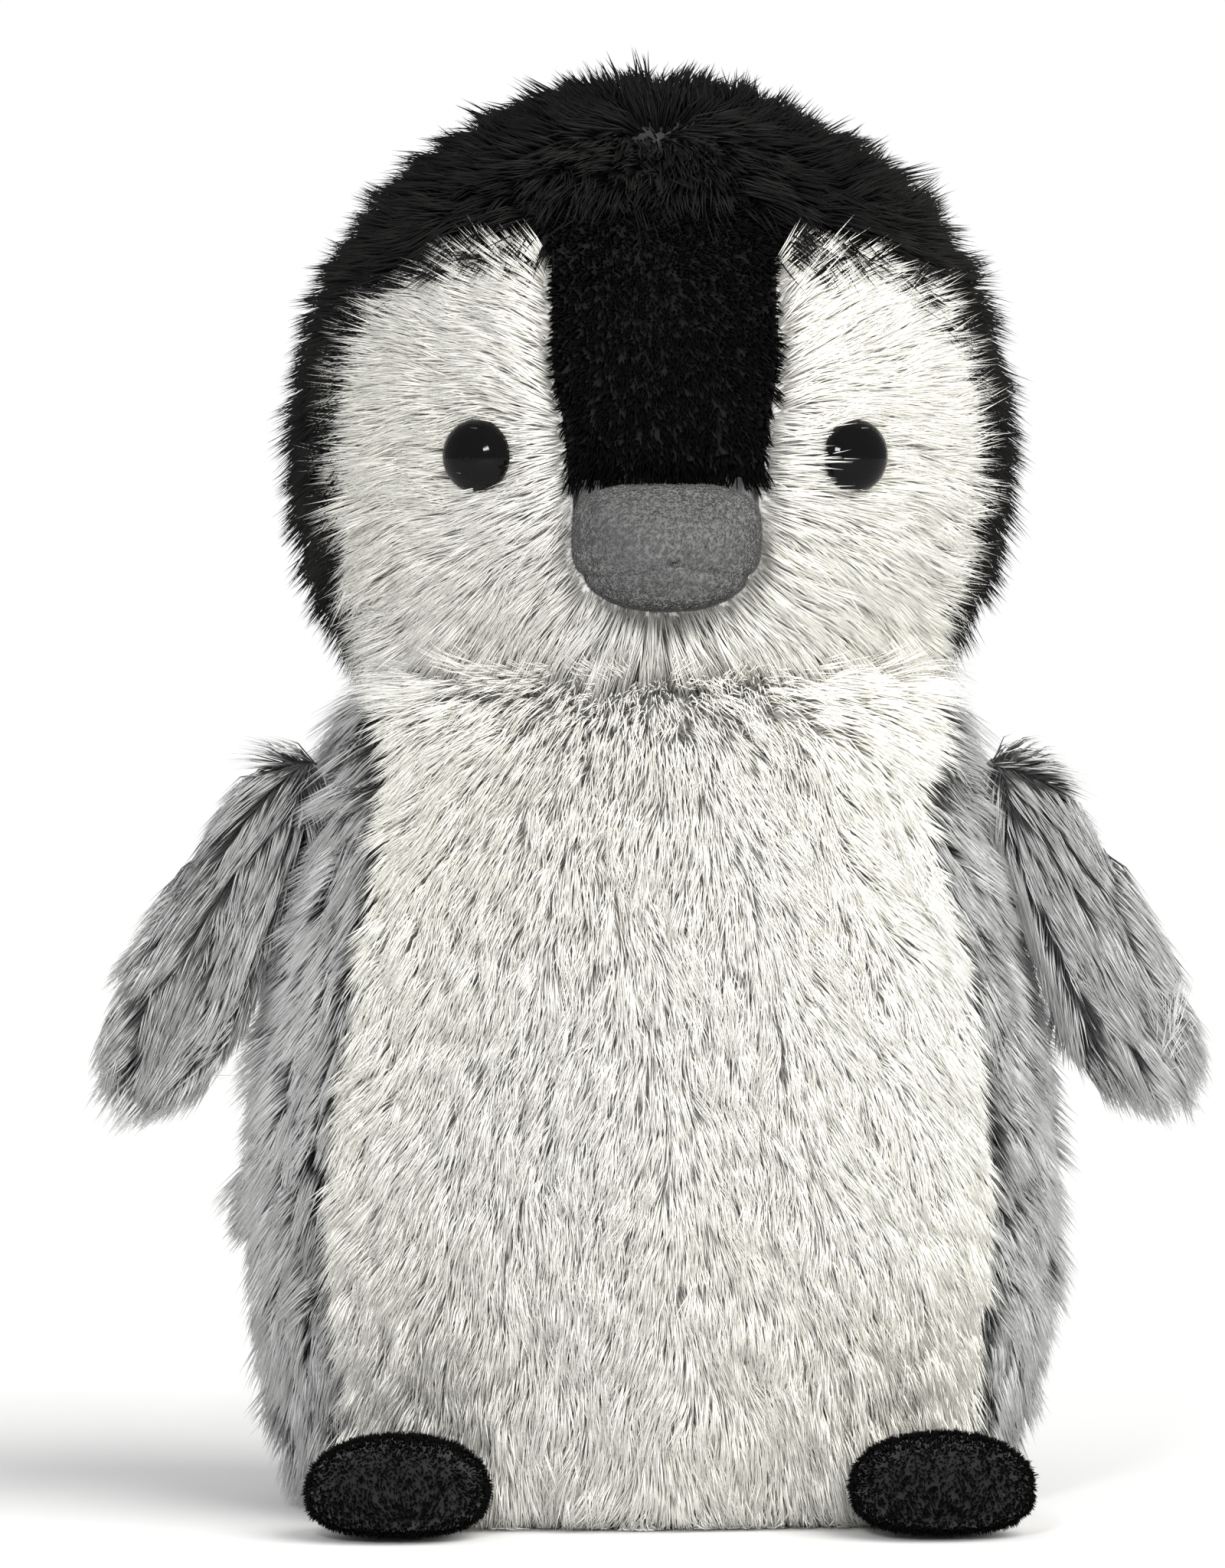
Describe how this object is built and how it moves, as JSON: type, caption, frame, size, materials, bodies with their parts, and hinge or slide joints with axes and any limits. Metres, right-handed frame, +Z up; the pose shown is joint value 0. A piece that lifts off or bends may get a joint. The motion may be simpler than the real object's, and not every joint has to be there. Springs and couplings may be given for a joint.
{
  "type": "plush penguin",
  "caption": "Seated plush penguin with a round fur head, stuffed beak, plastic eyes, hanging wings and small feet that flex at their seams.",
  "frame": {"origin": "middle of the footprint's bounding box, on the floor the penguin sits on", "axes": "+Z up, the penguin faces -Y, +X is the penguin's own left"},
  "size_m": [0.2298, 0.1602, 0.297],
  "materials": {
    "black_fur": "matte",
    "white_fur": "matte",
    "frosted_fur": "matte",
    "grey_cloth": "matte",
    "black_pile": "matte",
    "eye_plastic": "gloss",
    "washer_plastic": "matte",
    "stuffing": "matte",
    "pellets": "matte",
    "thread": "matte"
  },
  "bodies": {
    "body": {"belly_panel": "white_fur", "back_panel_left": "frosted_fur", "back_panel_right": "frosted_fur", "base_panel": "frosted_fur", "body_stuffing": "stuffing", "pellet_bag": "pellets", "closing_stitches": "thread"},
    "head": {"head_cap_left": "black_fur", "head_cap_right": "black_fur", "forehead_blaze": "black_fur", "face_patch_left": "white_fur", "face_patch_right": "white_fur", "beak_upper": "grey_cloth", "beak_lower": "grey_cloth", "beak_stuffing": "stuffing", "eye_left": "eye_plastic", "eye_right": "eye_plastic", "eye_washer_left": "washer_plastic", "eye_washer_right": "washer_plastic", "head_stuffing": "stuffing"},
    "wing_left": {"wing_front_left": "frosted_fur", "wing_back_left": "frosted_fur", "wing_stuffing_left": "stuffing"},
    "wing_right": {"wing_front_right": "frosted_fur", "wing_back_right": "frosted_fur", "wing_stuffing_right": "stuffing"},
    "foot_left": {"foot_top_left": "black_pile", "foot_sole_left": "black_pile", "foot_stuffing_left": "stuffing"},
    "foot_right": {"foot_top_right": "black_pile", "foot_sole_right": "black_pile", "foot_stuffing_right": "stuffing"}
  },
  "joints": [
    {"name": "head_nod", "type": "hinge", "parent": "body", "child": "head", "pos_m": [0, 0.012, 0.125], "axis": [1, 0, 0], "range_deg": [-8, 8], "stiffness_Nm_per_rad": 1.2},
    {"name": "wing_left_flap", "type": "hinge", "parent": "body", "child": "wing_left", "pos_m": [0.07, 0.004, 0.155], "axis": [0, -1, 0], "range_deg": [0, 60], "stiffness_Nm_per_rad": 0.03},
    {"name": "wing_right_flap", "type": "hinge", "parent": "body", "child": "wing_right", "pos_m": [-0.07, 0.004, 0.155], "axis": [0, 1, 0], "range_deg": [0, 60], "stiffness_Nm_per_rad": 0.03},
    {"name": "foot_left_flex", "type": "hinge", "parent": "body", "child": "foot_left", "pos_m": [0.05084, -0.04044, 0.0092], "axis": [-0.9781, -0.2079, 0], "range_deg": [0, 15], "stiffness_Nm_per_rad": 0.1},
    {"name": "foot_right_flex", "type": "hinge", "parent": "body", "child": "foot_right", "pos_m": [-0.05084, -0.04044, 0.0092], "axis": [-0.9781, 0.2079, 0], "range_deg": [0, 15], "stiffness_Nm_per_rad": 0.1}
  ]
}
